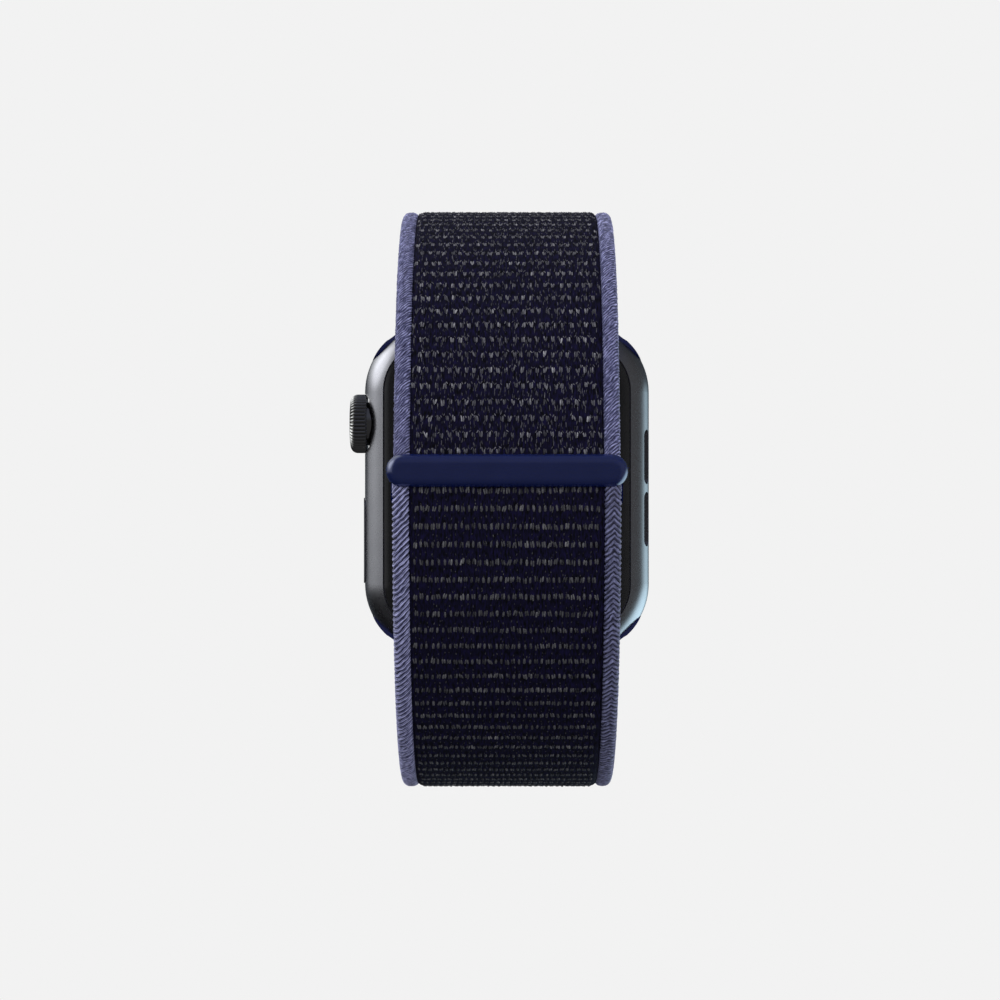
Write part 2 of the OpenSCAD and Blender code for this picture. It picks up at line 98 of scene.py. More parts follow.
def bend(c, r, a0, a1):
    """Points of an arc, each with its outward angle."""
    n = max(2, int(abs(a1 - a0) / ANGLE_STEP))
    return [(c[0] + r * math.cos(math.radians(a)), c[1] + r * math.sin(math.radians(a)), a)
            for a in np.linspace(a0, a1, n + 1)]


def flip(path):
    """The same path on the lower half of the loop."""
    return [(p[0], -p[1], -p[2]) for p in path]


def half_loop(stop):
    """From inside a connector, over the back and the shoulder, to an angle on the front arc."""
    out = END_P + INSERT * np.array([math.sin(math.radians(END_A)), -math.cos(math.radians(END_A))])
    return ([(out[0], out[1], END_A)]
            + bend(BACK_C, BACK_R, END_A, 90)
            + bend(SHOULDER_C, SHOULDER_R, 90 + ANGLE_STEP, 90 + TURN_A)
            + bend(FRONT_C, FRONT_R, 90 + TURN_A + ANGLE_STEP, stop))


def unwrap(points):
    """Keeps the outward angle continuous along a path."""
    a = np.array(points)
    a[:, 2] = np.degrees(np.unwrap(np.radians(a[:, 2])))
    return a


class Path:
    """A path along the band's outer face: points (y, z) and the outward angle, by length."""

    def __init__(self, points):
        a = np.array(points)
        self.s = np.concatenate([[0], np.cumsum(np.hypot(*np.diff(a[:, :2], axis=0).T))])
        self.y, self.z, self.a = a.T
        self.length = self.s[-1]

    def at(self, s, depth):
        """Places at lengths along the path, at depths below the outer face."""
        ang = np.radians(np.interp(s, self.s, self.a))
        y = np.interp(s, self.s, self.y) - depth * np.cos(ang)
        z = np.interp(s, self.s, self.z) - depth * np.sin(ang)
        return y, z

    def where_z(self, z, low, high):
        """The length at which the path passes height z, between two lengths."""
        t = np.linspace(low, high, 4000)
        return t[np.argmin(np.abs(np.interp(t, self.s, self.z) - z))]


upper = Path(half_loop(180 - FRONT_A)
             + [(TOP_P[0] - UPPER_L * math.sin(math.radians(FRONT_A)),
                 TOP_P[1] - UPPER_L * math.cos(math.radians(FRONT_A)), 180 - FRONT_A)])
inner = Path(flip(half_loop(180 - EASE_A))
             + bend(EASE_C, EASE_R, -180 + EASE_A - ANGLE_STEP, -180)
             + [(RUN_Y, PIN_Z, -180)])
tail = Path(unwrap(bend(PIN_C, FOLD_OUT, 0, 180 + PIN_A)
                   + bend(FRONT_C, TAIL_R, 180 + PIN_A + ANGLE_STEP, 270 - TURN_A)
                   + flip(bend(SHOULDER_C, SHOULDER_R + PITCH, 90 + TURN_A - ANGLE_STEP, 90))
                   + flip(bend(BACK_C, BACK_R + PITCH, 90 - ANGLE_STEP, 90 - TAIL_END))))


# Mesh helpers

def mesh_object(name, verts, faces, weave=None, tone=None):
    """A smooth mesh, with the weave's coordinates and a tone at each point where they are given."""
    me = bpy.data.meshes.new(name)
    me.from_pydata([tuple(v) for v in verts], [], [tuple(f) for f in faces])
    me.update()
    me.polygons.foreach_set("use_smooth", [True] * len(me.polygons))
    if weave is not None:
        at = me.attributes.new("weave", "FLOAT_VECTOR", "POINT")
        at.data.foreach_set("vector", np.asarray(weave, np.float32).ravel())
    if tone is not None:
        at = me.attributes.new("tone", "FLOAT", "POINT")
        at.data.foreach_set("value", np.asarray(tone, np.float32).ravel())
    ob = bpy.data.objects.new(name, me)
    bpy.context.scene.collection.objects.link(ob)
    return ob


def smooth_noise(rng, shape, passes):
    """Random values from 0 to 1 on a grid, each pass blending a value with its neighbours."""
    n = rng.random(shape)
    for _ in range(passes):
        n = (n + np.roll(n, 1, 0) + np.roll(n, -1, 0) + np.roll(n, 1, 1) + np.roll(n, -1, 1)) / 5
    n -= n.min()
    return n / n.max()


def rounding(u):
    """How far the cloth's face drops towards its two long edges."""
    wide, drop = 0.91, 0.27
    t = np.clip((np.abs(u) - (FABRIC_H + FABRIC_LAP - wide)) / wide, 0, 1)
    return drop * t * t


def fabric(name, path, s0, s1, outer_style, inner_style, seed, row_at=0.0, du=0.16, ds=0.22):
    """A slab of woven cloth: ribbed outer and inner faces, closed at its sides and ends."""
    rng = np.random.default_rng(seed)
    half = FABRIC_H + FABRIC_LAP
    u = np.linspace(-half, half, int(2 * half / du) + 1)
    s = np.linspace(s0, s1, int((s1 - s0) / ds) + 1)
    S, U = np.meshgrid(s, u, indexing="ij")
    ns, nu = S.shape

    def height(style):
        edge = np.clip((half - np.abs(U)) / 0.3, 0, 1)
        row = 0.02 * np.cos(2 * np.pi * (S - row_at) / ROW)
        if style == "skin":
            rib = 0.05 * np.abs(np.cos(np.pi * U / 0.65))
            nap = 0.02 * smooth_noise(rng, S.shape, 1)
        else:
            rib = 0.04 * np.abs(np.cos(np.pi * U / 0.5 + 0.8 * smooth_noise(rng, S.shape, 6)))
            nap = 0.05 * smooth_noise(rng, S.shape, 2)
        return (rib + row + nap) * edge - rounding(U)

    yo, zo = path.at(S, -height(outer_style))
    yi, zi = path.at(S, BAND_T + height(inner_style))
    top = np.stack([U, yo, zo], -1).reshape(-1, 3)
    bot = np.stack([U, yi, zi], -1).reshape(-1, 3)
    n = ns * nu
    idx = np.arange(n).reshape(ns, nu)
    q = np.stack([idx[:-1, :-1], idx[:-1, 1:], idx[1:, 1:], idx[1:, :-1]], -1).reshape(-1, 4)
    faces = [q, q[:, ::-1] + n]
    for e in (idx[:, 0], idx[::-1, -1], idx[-1, :], idx[0, ::-1]):
        faces.append(np.stack([e[:-1], e[1:], e[1:] + n, e[:-1] + n], -1))
    weave = np.stack([U, S, np.zeros_like(U)], -1).reshape(-1, 3)
    elsewhere = np.array([40.0, 17.0, 1.0])
    return mesh_object(name, np.concatenate([top, bot]) * MM, np.concatenate(faces),
                       np.concatenate([weave, weave + elsewhere]))


# One float of thread is a closed tapered body: its cross-section as (across, up), and its
# stations as (place along it, width there, height of its arch, below 0 where it dips into the cloth)

SECTION = np.array([(-1, -0.5), (-0.75, 0.55), (0, 1), (0.75, 0.55), (1, -0.5)])
STATIONS = np.array([(-1, 0.30, -0.9), (-0.62, 0.85, 0.6), (0, 1.0, 1.0), (0.62, 0.85, 0.6), (1, 0.30, -0.9)])
ARCH, FLAT, SUNK = 0.55, 0.8, 0.06


def floats(name, path, spec, side, material):
    """Many short threads on one face. spec rows: u, s, half length, half width, rise, tilt, tone."""
    spec = np.asarray(spec)
    k, m = len(STATIONS), len(SECTION)
    u0, s0, half_l, half_w, rise, tilt, tone = [column[:, None, None] for column in spec.T]
    place, width, arch = [column[None, :, None] for column in STATIONS.T]
    wide, tall = [column[None, None, :] for column in SECTION.T]
    along = place * half_l
    across = wide * width * half_w
    sunk = np.where(arch < 0, -SUNK, 0)
    uu = u0 + across * np.cos(tilt) + along * np.sin(tilt)
    ss = s0 - across * np.sin(tilt) + along * np.cos(tilt)
    up = sunk + rise * np.maximum(arch, 0) * ARCH + tall * half_w * width * FLAT - rounding(uu)
    depth = -up if side == "outer" else BAND_T + up
    y, z = path.at(ss, depth)
    verts = np.stack([uu, y, z], -1).reshape(-1, 3)
    n = len(spec)
    ring = []
    for i in range(k - 1):
        for j in range(m):
            a, b = i * m + j, i * m + (j + 1) % m
            ring.append((a, b, b + m, a + m))
    quads = np.array(ring)
    base = (np.arange(n) * k * m)[:, None, None]
    faces = (quads[None] + base).reshape(-1, 4).tolist()
    caps = np.array([list(range(m))[::-1], [(k - 1) * m + j for j in range(m)]])
    faces += (caps[None] + base).reshape(-1, m).tolist()
    if side == "inner":
        faces = [f[::-1] for f in faces]
    tones = np.broadcast_to(tone, uu.shape).reshape(-1)
    weave = np.stack([uu, ss, np.broadcast_to(place, uu.shape)], -1).reshape(-1, 3)
    ob = mesh_object(name, verts * MM, faces, weave, tones)
    ob.data.materials.append(material)
    return ob


def rows_between(s0, s1, row_at, row):
    """Lengths of the rows between two ends, one row of them being at row_at."""
    clear = 0.3
    first = row_at - math.floor((row_at - s0) / row) * row
    return [r for r in np.arange(first, s1 - clear, row) if r >= s0 + clear]


def inside(spec, s0, s1, margin):
    """The threads that lie wholly between two lengths and clear of the edgings."""
    return [p for p in spec if s0 < p[1] - p[2] and p[1] + p[2] < s1 and abs(p[0]) < FABRIC_H - margin]


def toned(rng, mean, spread, least):
    return np.clip(rng.normal(mean, spread), least, 1)


def skin_floats(s0, s1, row_at, seed):
    """Regular rows of short dashes, with faint flecks between the rows."""
    rng = np.random.default_rng(seed)
    spec = []
    for r in rows_between(s0, s1, row_at, ROW):
        shift = rng.uniform(-0.2, 0.2)
        for c in np.arange(-FABRIC_H + 0.55, FABRIC_H - 0.35, 0.645):
            u = c + shift + rng.normal(0, 0.035)
            s = r + rng.normal(0, 0.04)
            tone = toned(rng, 0.35, 0.08, 0.15)
            # one wide dash, or two narrow ones side by side
            if rng.random() < 0.3:
                spec.append((u, s, rng.uniform(0.38, 0.46), rng.uniform(0.15, 0.19),
                             0.1, rng.normal(0, 0.06), tone))
            else:
                lean = rng.normal(0, 0.12)
                for d in (-0.115, 0.115):
                    spec.append((u + d, s + rng.normal(0, 0.05),
                                 rng.uniform(0.37, 0.47), rng.uniform(0.11, 0.145),
                                 0.09, lean + d * rng.uniform(-1, 1.5), toned(rng, tone, 0.12, 0.1)))
            # flecks at two heights between this row and the next
            for back in (0.5, 0.78):
                if rng.random() < 0.75:
                    spec.append((u + rng.normal(0, 0.14), r + back * ROW + rng.normal(0, 0.12),
                                 rng.uniform(0.1, 0.2), rng.uniform(0.05, 0.08),
                                 0.04, rng.normal(0, 0.2), rng.uniform(0.0, 0.3)))
    return inside(spec, s0, s1, 0.1)


def pile_floats(s0, s1, row_at, seed):
    """Looser rows of loops, which are clustered strokes with tilted tips, and stray threads between."""
    rng = np.random.default_rng(seed)
    loops, strays = [], []
    for r in rows_between(s0, s1, row_at, PILE_ROW):
        shift = rng.uniform(-0.5, 0.5)
        for c in np.arange(-FABRIC_H + 0.5, FABRIC_H - 0.2, 0.88):
            u = c + shift + rng.normal(0, 0.07)
            s = r + rng.normal(0, 0.05)
            tone = toned(rng, 0.40, 0.09, 0.2)
            # the loop: two fine strokes side by side, leaning apart
            for half in (-0.5, 0.5):
                d = half * rng.uniform(0.17, 0.24)
                loops.append((u + d, s + 0.1 + rng.normal(0, 0.05),
                              rng.uniform(0.34, 0.48), rng.uniform(0.085, 0.125),
                              0.14, rng.normal(0, 0.12) - 0.8 * d, toned(rng, tone, 0.14, 0.1)))
            # its tilted tips
            for turn in (1, -1):
                if rng.random() < 0.55:
                    loops.append((u + turn * rng.uniform(0.22, 0.38), s - rng.uniform(0.12, 0.34),
                                  rng.uniform(0.16, 0.26), rng.uniform(0.045, 0.07),
                                  0.2, turn * rng.uniform(0.3, 0.9), toned(rng, 0.38, 0.12, 0.1)))
            # threads that run on to the next row
            for _ in range(5):
                if rng.random() < 0.8:
                    strays.append((u + rng.uniform(-0.5, 0.5), s + rng.uniform(0.35, 1.5),
                                   rng.uniform(0.2, 0.5), rng.uniform(0.035, 0.06),
                                   0.08, rng.normal(0, 0.09), rng.uniform(0.05, 0.42)))
    return [inside(spec, s0, s1, 0.05) for spec in (loops, strays)]


def edging(name, path, s0, s1, sign, style, seed, ds=0.085, m=64):
    """One twisted edging: a rounded section swept along the band, with helical strands."""
    rng = np.random.default_rng(seed)
    cx = sign * (BAND_W / 2 - EDGE_W / 2 + 0.03)
    seam = 0 if sign < 0 else np.pi
    t = seam + np.linspace(0, 2 * np.pi, m, endpoint=False)
    squareness, grow = 0.78, 0.1
    ru = np.sign(np.cos(t)) * np.abs(np.cos(t)) ** squareness * (EDGE_W + grow) / 2
    rd = np.sign(np.sin(t)) * np.abs(np.sin(t)) ** squareness * BAND_T / 2
    w = np.concatenate([[0], np.cumsum(np.hypot(np.diff(ru), np.diff(rd)))])
    perimeter = w[-1] + math.hypot(ru[0] - ru[-1], rd[0] - rd[-1])
    w = w / perimeter
    s = np.linspace(s0, s1, int((s1 - s0) / ds) + 1)
    S, W = np.meshgrid(s, w, indexing="ij")
    # the strands cross each face at one slope and run straight over the flanks
    across = ru / np.abs(ru).max()
    wrap = np.where(rd >= 0, 0.25 * (1 - across), 0.75 + 0.25 * across)[None, :]
    loose = {"rope": 0.5, "twill": 1.0, "fuzzy": 1.4, "braid": 1.0}[style]
    wander = loose * (smooth_noise(rng, S.shape, 14) - 0.5)
    rough_wide = smooth_noise(rng, S.shape, 10)
    if style == "braid":
        q = (S - 1.0 * np.abs(ru[None, :] - 0.15 + 0.25 * (rough_wide - 0.5))) / 0.62 + 0.6 * wander
    else:
        turns, pitch = {"rope": (-6, 0.66), "twill": (-9, 0.42), "fuzzy": (-10, 0.37)}[style]
        q = S / pitch + turns * wrap + wander
    ridge = np.abs(np.sin(np.pi * q)) ** {"rope": 0.55, "twill": 0.8, "fuzzy": 0.9, "braid": 0.7}[style]
    fine = np.abs(np.sin(3 * np.pi * q))
    rough = smooth_noise(rng, S.shape, 1)
    amp = {"rope": 0.32, "twill": 0.17, "fuzzy": 0.17, "braid": 0.2}[style]
    noise_amp = {"rope": 0.05, "twill": 0.1, "fuzzy": 0.12, "braid": 0.08}[style]
    h = amp * (ridge - 0.75) + 0.03 * fine + noise_amp * (rough - 0.5)
    nu, nd = ru / (EDGE_W / 2) ** 2, rd / (BAND_T / 2) ** 2
    nn = np.hypot(nu, nd)
    nu, nd = nu / nn, nd / nn
    U = cx + ru[None, :] + nu[None, :] * h
    D = BAND_T / 2 - (rd[None, :] + nd[None, :] * h)
    y, z = path.at(S, D)
    verts = np.stack([U, y, z], -1).reshape(-1, 3)
    n = len(s)
    idx = np.arange(n * m).reshape(n, m)
    nxt = np.roll(idx, -1, 1)
    faces = np.stack([idx[:-1], idx[1:], nxt[1:], nxt[:-1]], -1).reshape(-1, 4).tolist()
    faces += [idx[0].tolist(), idx[-1][::-1].tolist()]
    weave = np.stack([W * perimeter, S, q], -1).reshape(-1, 3)
    # tone: partly random yarn tone, partly the strand ridges again, painted as shade in the grooves
    tone = (0.55 * ridge + 0.45 * rough).reshape(-1)
    return mesh_object(name, verts * MM, faces, weave, tone)


# Materials

def new_material(name):
    m = bpy.data.materials.new(name)
    m.use_nodes = True
    nt = m.node_tree
    return m, nt, nt.nodes["Principled BSDF"]


def link(nt, a, b):
    nt.links.new(a, b)


def node(nt, kind, **props):
    n = nt.nodes.new(kind)
    for k, v in props.items():
        setattr(n, k, v)
    return n


def srgb(r, g, b):
    f = lambda c: c / 255 / 12.92 if c / 255 <= 0.04045 else ((c / 255 + 0.055) / 1.055) ** 2.4
    return (f(r), f(g), f(b), 1)


def scaled_coords(nt, scale, source="Object"):
    """Object coordinates in millimetres, times a scale for each axis."""
    tc = node(nt, "ShaderNodeTexCoord")
    mp = node(nt, "ShaderNodeMapping")
    mp.inputs["Scale"].default_value = [1000 * v for v in scale]
    link(nt, tc.outputs[source], mp.inputs["Vector"])
    return mp.outputs["Vector"]


def noise(nt, vector, scale=1.0, detail=3.0, rough=0.55):
    n = node(nt, "ShaderNodeTexNoise")
    n.inputs["Scale"].default_value = scale
    n.inputs["Detail"].default_value = detail
    n.inputs["Roughness"].default_value = rough
    link(nt, vector, n.inputs["Vector"])
    return n.outputs["Fac"]


def ramp(nt, fac, stops):
    r = node(nt, "ShaderNodeValToRGB")
    el = r.color_ramp.elements
    while len(el) < len(stops):
        el.new(0.5)
    for e, (p, c) in zip(el, stops):
        e.position, e.color = p, c
    link(nt, fac, r.inputs["Fac"])
    return r.outputs["Color"]


def map_range(nt, fac, lo, hi, a=0.0, b=1.0):
    r = node(nt, "ShaderNodeMapRange")
    r.inputs["From Min"].default_value, r.inputs["From Max"].default_value = a, b
    r.inputs["To Min"].default_value, r.inputs["To Max"].default_value = lo, hi
    link(nt, fac, r.inputs["Value"])
    return r.outputs["Result"]


def bump(nt, bsdf, height, strength, distance):
    b = node(nt, "ShaderNodeBump")
    b.inputs["Strength"].default_value = strength
    b.inputs["Distance"].default_value = distance
    link(nt, height, b.inputs["Height"])
    link(nt, b.outputs["Normal"], bsdf.inputs["Normal"])


def surface(name, low, high, rough, metal=0.0, scale=(1, 1, 1), grain=(6, 6, 6), strength=0.1,
            rough_span=0.08, coat=0.0, coat_rough=0.1, spec=0.5, ior=1.5, distance=0.00002):
    """A hard surface: slow colour drift, varied roughness and a fine grain in the relief."""
    m, nt, b = new_material(name)
    drift = noise(nt, scaled_coords(nt, scale), 0.35, 3)
    link(nt, ramp(nt, drift, [(0.3, low), (0.7, high)]), b.inputs["Base Color"])
    fine = noise(nt, scaled_coords(nt, grain), 1.0, 4, 0.6)
    link(nt, map_range(nt, fine, rough - rough_span, rough + rough_span, 0.3, 0.7), b.inputs["Roughness"])
    bump(nt, b, fine, strength, distance)
    b.inputs["Metallic"].default_value = metal
    b.inputs["Coat Weight"].default_value = coat
    b.inputs["Coat Roughness"].default_value = coat_rough
    b.inputs["Specular IOR Level"].default_value = spec
    b.inputs["IOR"].default_value = ior
    return m


def posts_painted_shade(material):
    """The ring shines on its front bar only. Its posts and hidden bars, further in, lie in the front bar's
    shadow, and their reflections are taken off as painted shade.
    """
    nt = material.node_tree
    split = node(nt, "ShaderNodeSeparateXYZ")
    link(nt, scaled_coords(nt, (1, 1, 1)), split.inputs[0])
    # painted shade: no reflection behind the front bar, where its shadow falls
    shine = map_range(nt, split.outputs["Y"], 0.85, 0.0, -31.0, -29.9)
    bsdf = nt.nodes["Principled BSDF"]
    link(nt, shine, bsdf.inputs["Specular IOR Level"])
    bsdf.inputs["Specular Tint"].default_value = (0.72, 0.77, 1.0, 1)


def attribute(nt, name, out):
    a = node(nt, "ShaderNodeAttribute", attribute_name=name)
    return a.outputs[out]


def weave_coords(nt, scale):
    mp = node(nt, "ShaderNodeMapping")
    mp.inputs["Scale"].default_value = scale
    link(nt, attribute(nt, "weave", "Vector"), mp.inputs["Vector"])
    return mp.outputs["Vector"]


def cloth(name, dark, navy):
    """Ground weave: black and navy threads that run along the band."""
    m, nt, b = new_material(name)
    streak = noise(nt, weave_coords(nt, (5.2, 1.1, 1)), 1.0, 4, 0.6)
    middle = tuple((d + n) / 2 for d, n in zip(dark, navy))
    link(nt, ramp(nt, streak, [(0.38, dark), (0.55, middle), (0.72, navy)]), b.inputs["Base Color"])
    b.inputs["Roughness"].default_value = 0.85
    b.inputs["Specular IOR Level"].default_value = 0.1
    b.inputs["Sheen Weight"].default_value = 0.02
    b.inputs["Sheen Roughness"].default_value = 0.5
    b.inputs["Sheen Tint"].default_value = srgb(120, 125, 170)
    fine = noise(nt, weave_coords(nt, (11, 3.5, 1)), 1.0, 4, 0.65)
    bump(nt, b, fine, 0.6, 0.00006)
    return m


def thread(name, stops, rough=0.6):
    """Floats of thread: tone picks the colour, with fine fibres along each one."""
    m, nt, b = new_material(name)
    fibre = noise(nt, weave_coords(nt, (14, 2.5, 1)), 1.0, 3, 0.6)
    mix = node(nt, "ShaderNodeMath", operation="MULTIPLY_ADD")
    link(nt, map_range(nt, fibre, -0.25, 0.25, 0.3, 0.7), mix.inputs[0])
    mix.inputs[1].default_value = 1.0
    link(nt, attribute(nt, "tone", "Fac"), mix.inputs[2])
    link(nt, ramp(nt, mix.outputs[0], stops), b.inputs["Base Color"])
    b.inputs["Roughness"].default_value = rough
    b.inputs["Specular IOR Level"].default_value = 0.2
    bump(nt, b, fibre, 0.5, 0.00004)
    return m


def math_node(nt, operation, a, b=None, c=None):
    n = node(nt, "ShaderNodeMath", operation=operation)
    for i, v in enumerate((a, b, c)):
        if v is None:
            continue
        if isinstance(v, (int, float)):
            n.inputs[i].default_value = v
        else:
            link(nt, v, n.inputs[i])
    return n.outputs[0]


def twist(name, stops, strand_shade, fibre, fleck, seed, strength):
    """Edging yarn: strands and their fibres as ridges across the twist, with broken flecks. The ridges are
    painted into the colour as shade in the grooves between strands and as highlight on their crests.
    """
    m, nt, b = new_material(name)
    sep = node(nt, "ShaderNodeSeparateXYZ")
    link(nt, attribute(nt, "weave", "Vector"), sep.inputs[0])
    around, turn = sep.outputs["X"], sep.outputs["Z"]
    # painted shade and highlight: each strand ridge darkens the colour in its groove and lightens it on its
    # crest, and so does each fine fibre ridge
    ridge = math_node(nt, "POWER", math_node(nt, "ABSOLUTE", math_node(
        nt, "SINE", math_node(nt, "MULTIPLY", turn, math.pi))), 0.6)
    fine = math_node(nt, "ABSOLUTE", math_node(nt, "SINE", math_node(nt, "MULTIPLY", turn, 3 * math.pi)))
    comb = node(nt, "ShaderNodeCombineXYZ")
    link(nt, math_node(nt, "MULTIPLY", turn, 2.4), comb.inputs[0])
    link(nt, math_node(nt, "MULTIPLY", around, 1.5), comb.inputs[1])
    comb.inputs[2].default_value = seed
    broken = map_range(nt, noise(nt, comb.outputs[0], 1.0, 4, 0.6), 0, 1, 0.3, 0.7)
    tone_and_groove_shade = math_node(nt, "MULTIPLY_ADD", ridge, strand_shade, math_node(
        nt, "MULTIPLY_ADD", fine, fibre, math_node(
            nt, "MULTIPLY_ADD", broken, fleck, math_node(nt, "MULTIPLY", attribute(nt, "tone", "Fac"), 0.2))))
    link(nt, ramp(nt, tone_and_groove_shade, stops), b.inputs["Base Color"])
    b.inputs["Roughness"].default_value = 0.6
    b.inputs["Specular IOR Level"].default_value = 0.3
    b.inputs["Sheen Weight"].default_value = 0.08
    b.inputs["Sheen Roughness"].default_value = 0.4
    bump(nt, b, tone_and_groove_shade, strength, 0.00012)
    return m


CLOTH = cloth("woven_ground", srgb(5, 5, 10), srgb(17, 13, 52))
SKIN_THREAD = thread("grey_floats", [(0.0, srgb(20, 20, 28)), (0.5, srgb(70, 70, 75)),
                                     (1.0, srgb(120, 120, 124))])
PILE_THREAD = thread("pile_loops", [(0.0, srgb(22, 22, 34)), (0.5, srgb(82, 82, 90)),
                                    (1.0, srgb(146, 146, 153))])
# Edging colours: the dark end of each ramp is painted shade in the yarn's grooves and the light end is
# painted highlight on its crests, with the yarn's own navy and lilac between them.
ROPE = twist("edging_rope", [(0.34, srgb(7, 7, 15)), (0.66, srgb(62, 64, 100)), (0.96, srgb(186, 188, 236))],
             0.38, 0.22, 0.25, 3.0, 1.0)
BRAID = twist("edging_braid", [(0.2, srgb(12, 12, 24)), (0.6, srgb(52, 53, 80)), (1.0, srgb(132, 135, 178))],
              0.4, 0.05, 0.4, 5.0, 1.0)
FUZZ = twist("edging_fuzz", [(0.26, srgb(14, 14, 36)), (0.58, srgb(64, 66, 106)),
                             (0.92, srgb(170, 172, 222))],
             0.3, 0.0, 0.5, 7.0, 1.0)

# The woven band

tail_front = tail.where_z(-0.54, 6.0, 14.0)
upper_front = upper.where_z(3.9, upper.length - 12, upper.length)

pieces = []


def add(ob, mat, body):
    if mat is not None:
        ob.data.materials.append(mat)
    pieces.append(ob)
    if body:
        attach(ob, body)
    return ob


o = fabric("band_upper_cloth", upper, 0, upper.length, "pile", "skin", 11, upper_front)
add(o, CLOTH, "band")
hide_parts("strap_upper")
o = fabric("band_inner_cloth", inner, 0, inner.length, "pile", "skin", 12)
add(o, CLOTH, "band")
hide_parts("strap_inner")
o_tail = fabric("band_tail_cloth", tail, 0, tail.length, "skin", "pile", 13, tail_front)
add(o_tail, CLOTH, None)
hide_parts("strap_fold", "strap_tail")


def pile(name, path, s0, s1, row_at, seed, side, body):
    """The loops of one face and the stray threads between them, as two pieces."""
    return [add(floats(f"{name}_{kind}", path, spec, side, PILE_THREAD), None, body)
            for kind, spec in zip(("loops", "strays"), pile_floats(s0, s1, row_at, seed))]


pile("band_upper", upper, 1.0, upper.length, upper_front, 21, "outer", "band")
add(floats("band_upper_dashes", upper, skin_floats(1.0, upper.length, 0.5, 22), "inner", SKIN_THREAD),
    None, "band")
pile("band_inner", inner, 1.0, inner.length - 0.3, 0.5, 23, "outer", "band")
add(floats("band_inner_dashes", inner, skin_floats(1.0, inner.length, 0.5, 24), "inner", SKIN_THREAD),
    None, "band")
tail_dashes = skin_floats(0.2, tail.length, tail_front, 25)
o_dash = add(floats("band_tail_dashes", tail, tail_dashes, "outer", SKIN_THREAD), None, None)
hook_start = tail.length - 21.2
tail_pile = pile("band_tail", tail, 12.0, hook_start, 12.5, 26, "inner", None)

edge_pieces = []
for side, sign in (("left", -1), ("right", 1)):
    style = "fuzzy" if sign < 0 else "twill"
    o = edging(f"band_upper_edge_{side}", upper, 0, upper.length, sign, style, 31 + sign)
    add(o, FUZZ, "band")
    if sign < 0:
        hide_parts("strap_upper_edges")
    o = edging(f"band_inner_edge_{side}", inner, 0, inner.length, sign, "rope", 41 + sign)
    add(o, ROPE, "band")
    if sign < 0:
        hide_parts("strap_inner_edges")
    style = "rope" if sign < 0 else "braid"
    o = edging(f"band_tail_edge_{side}", tail, 0, tail.length, sign, style, 51 + sign)
    add(o, ROPE if sign < 0 else BRAID, None)
    if sign < 0:
        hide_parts("strap_fold_edges", "strap_tail_edges")
    edge_pieces.append(o)

for o in (o_tail, o_dash, *tail_pile, *edge_pieces):
    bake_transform(o)

# Materials of the CAD nodes


def dress(mat, *names):
    for n in names:
        ob = NODES[n]
        ob.data.materials.clear()
        ob.data.materials.append(mat)


METAL = surface("case_metal", srgb(157, 157, 160), srgb(162, 162, 165),
                0.28, metal=1.0, grain=(1.2, 1.2, 1.2), strength=0.003, rough_span=0.02)
CERAMIC = surface("back_ceramic", srgb(20, 20, 21), srgb(25, 25, 26),
                  0.12, grain=(2, 2, 2), strength=0.02, rough_span=0.03, coat=0.5, coat_rough=0.05)
GLASS = surface("dark_glass", srgb(7, 7, 8), srgb(10, 10, 12),
                0.06, grain=(1, 1, 1), strength=0.01, rough_span=0.02, coat=1.0, coat_rough=0.02)
SEAL = surface("seal_rubber", srgb(14, 14, 15), srgb(20, 20, 21), 0.7)
BOARD = surface("circuit_board", srgb(12, 60, 40), srgb(16, 74, 50), 0.45)
LED = surface("led", srgb(90, 190, 100), srgb(110, 215, 120), 0.3)
DIODE = surface("photodiode", srgb(26, 26, 44), srgb(32, 32, 54), 0.25)
COPPER = surface("copper", srgb(170, 104, 62), srgb(190, 120, 74), 0.35, metal=1.0)
STEEL = surface("steel", srgb(150, 150, 154), srgb(166, 166, 170), 0.32, metal=1.0, grain=(1, 12, 1))
FLEX = surface("flex_film", srgb(150, 96, 30), srgb(170, 112, 40), 0.4)
WRAP = surface("battery_wrap", srgb(36, 37, 40), srgb(44, 45, 48), 0.5)
DARK = surface("dark_plastic", srgb(22, 22, 24), srgb(28, 28, 30), 0.55)
CROWN = surface("crown_metal", srgb(166, 166, 162), srgb(174, 174, 170),
                0.1, metal=1.0, grain=(4, 4, 4), strength=0.01)
INLAY = surface("crown_inlay", srgb(12, 12, 12), srgb(16, 16, 16), 0.3)
SWITCH = surface("switch_plastic", srgb(196, 192, 180), srgb(208, 204, 192), 0.5)
BRONZE = surface("bushing_bronze", srgb(160, 140, 96), srgb(176, 154, 108), 0.35, metal=1.0)
RELEASE = surface("release_plastic", srgb(24, 24, 26), srgb(30, 30, 32), 0.35)
NAVY = surface("navy_plastic", srgb(8, 19, 63), srgb(10, 21, 67), 0.2, grain=(9, 9, 9), strength=0.02,
               rough_span=0.03, spec=0.7, ior=1.8)
# The connectors are the ring's navy plastic made lighter: painted highlight standing in for the left
# softbox's reflection on them.
NAVY_PAINTED_HIGHLIGHT = surface("navy_connector_painted_highlight", srgb(21, 28, 78), srgb(24, 31, 83), 0.3, grain=(9, 9, 9), strength=0.02)
BUCKLE = surface("navy_ring", srgb(8, 19, 63), srgb(10, 21, 67), 0.2, grain=(9, 9, 9), strength=0.02,
                 rough_span=0.03, ior=1.8)
posts_painted_shade(BUCKLE)
HOOKS = surface("hook_tape", srgb(16, 16, 26), srgb(24, 24, 40),
                0.85, grain=(5, 5, 5), strength=0.9, distance=0.0001)

